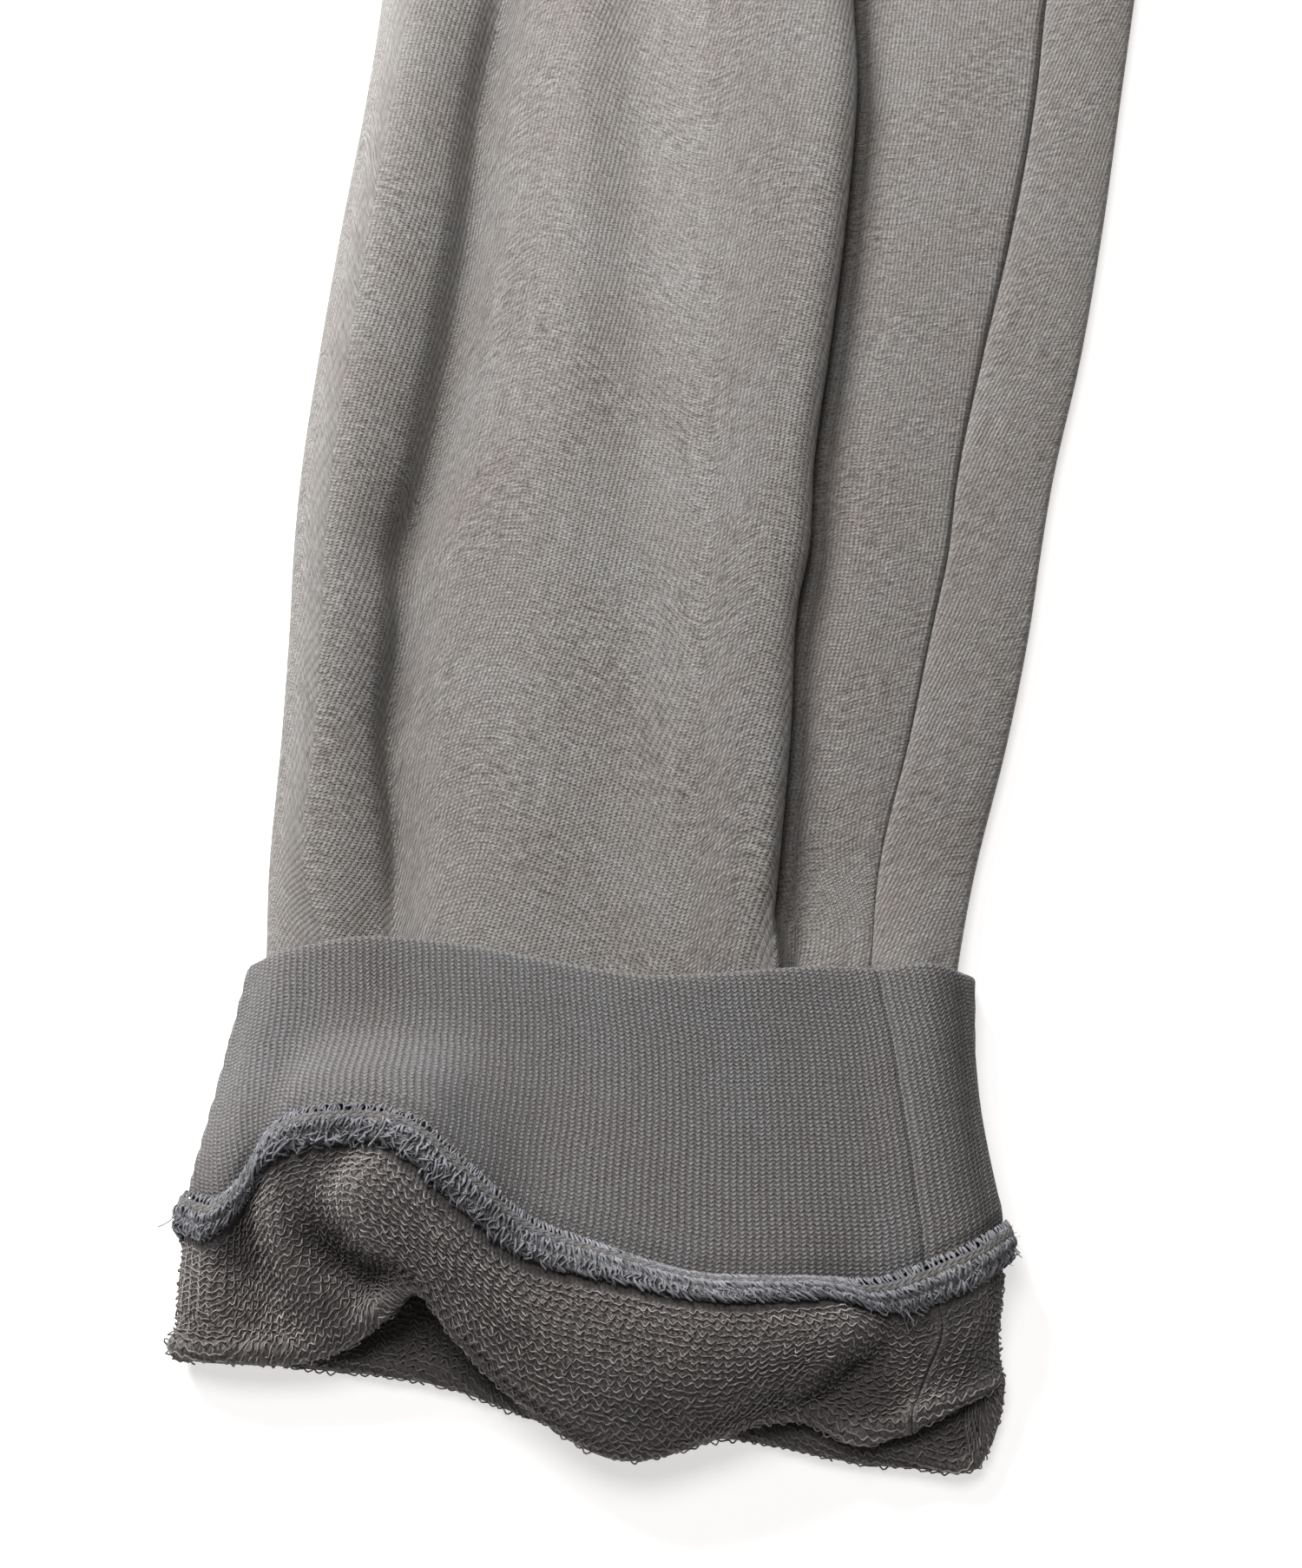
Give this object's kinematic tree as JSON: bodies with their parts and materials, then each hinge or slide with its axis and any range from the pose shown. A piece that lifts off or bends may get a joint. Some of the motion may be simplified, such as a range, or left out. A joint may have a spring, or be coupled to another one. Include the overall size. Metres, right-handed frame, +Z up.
{
  "type": "jogger sweatpants",
  "caption": "Adult jogger sweatpants in looped jersey laid flat, with one leg end and its ribbed cuff turned up over itself to show the inside.",
  "frame": {"origin": "on the table under the middle of the garment's bounding box", "axes": "+Z up from the table, +Y towards the waist, +X towards the wearer's left leg"},
  "size_m": [0.5594, 0.9957, 0.0287],
  "materials": {
    "jersey": "matt, soft napped face",
    "rib": "matt, ribbed",
    "thread": "matt, overlocked"
  },
  "bodies": {
    "root": {"front_right": "jersey", "back_right": "jersey", "front_left": "jersey", "back_left": "jersey", "waistband": "jersey", "cuff_right": "rib", "cuff_left": "rib", "hem_allowance_right": "thread"}
  },
  "joints": []
}
